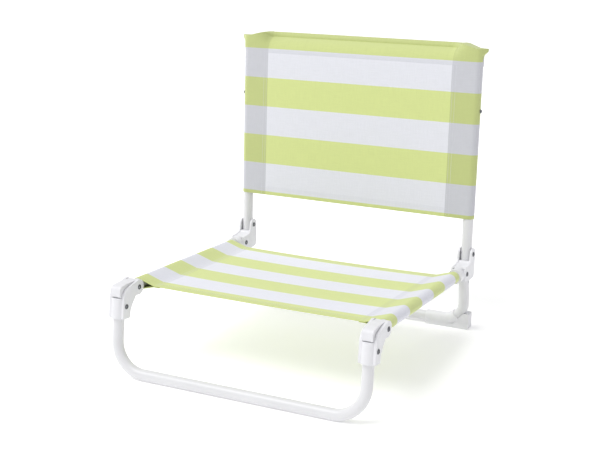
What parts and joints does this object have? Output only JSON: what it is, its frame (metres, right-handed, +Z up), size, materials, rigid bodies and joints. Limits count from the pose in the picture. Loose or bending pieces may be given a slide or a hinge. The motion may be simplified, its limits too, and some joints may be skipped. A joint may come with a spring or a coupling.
{
  "type": "folding camp chair",
  "caption": "Low folding beach chair with a tubular frame, folding legs and back, and a striped woven seat and backrest.",
  "frame": {"origin": "middle of the outline on the floor, between the front bar and the back of the top bar", "axes": "+Z up, the chair faces -Y, +X is on the right as seen from the front"},
  "size_m": [0.5564, 0.6123, 0.598],
  "materials": {
    "frame": "satin powder coat",
    "fitting": "fine moulded texture",
    "fastener": "zinc plated",
    "cloth": "plain weave, striped"
  },
  "bodies": {
    "seat": {"seat_rail_left": "frame", "seat_rail_right": "frame", "rail_end_left": "fitting", "rail_end_right": "fitting", "rear_bracket_left": "fitting", "rear_bracket_right": "fitting", "rail_screws": "fastener", "seat_fabric": "cloth", "rear_leg_rivets": "fastener", "back_pivot_rivets": "fastener"},
    "front_leg": {"front_leg_tube": "frame", "leg_housing_left": "fitting", "leg_housing_right": "fitting", "housing_rivets": "fastener", "front_pivot_rivets": "fastener"},
    "rear_leg": {"rear_leg_tube": "frame", "rear_leg_eye_left": "fitting", "rear_leg_eye_right": "fitting", "eye_pins": "fastener", "rear_foot_left": "fitting", "rear_foot_right": "fitting"},
    "backrest": {"back_post_left": "frame", "back_post_right": "frame", "post_plug_left": "fitting", "post_plug_right": "fitting", "back_top_bar": "frame", "top_corner_left": "fitting", "top_corner_right": "fitting", "corner_screws": "fastener", "fabric_screws": "fastener", "back_fabric": "cloth"}
  },
  "joints": [
    {"name": "backrest_fold", "type": "hinge", "parent": "seat", "child": "backrest", "pos_m": [0, 0.23728, 0.16437], "axis": [1, 0, 0], "range_deg": [0, 90]},
    {"name": "front_leg_fold", "type": "hinge", "parent": "seat", "child": "front_leg", "pos_m": [0, -0.23052, 0.162], "axis": [1, 0, 0], "range_deg": [0, 94]},
    {"name": "rear_leg_fold", "type": "hinge", "parent": "seat", "child": "rear_leg", "pos_m": [0, 0.20042, 0.13187], "axis": [1, 0, 0], "range_deg": [-86, 0]}
  ]
}
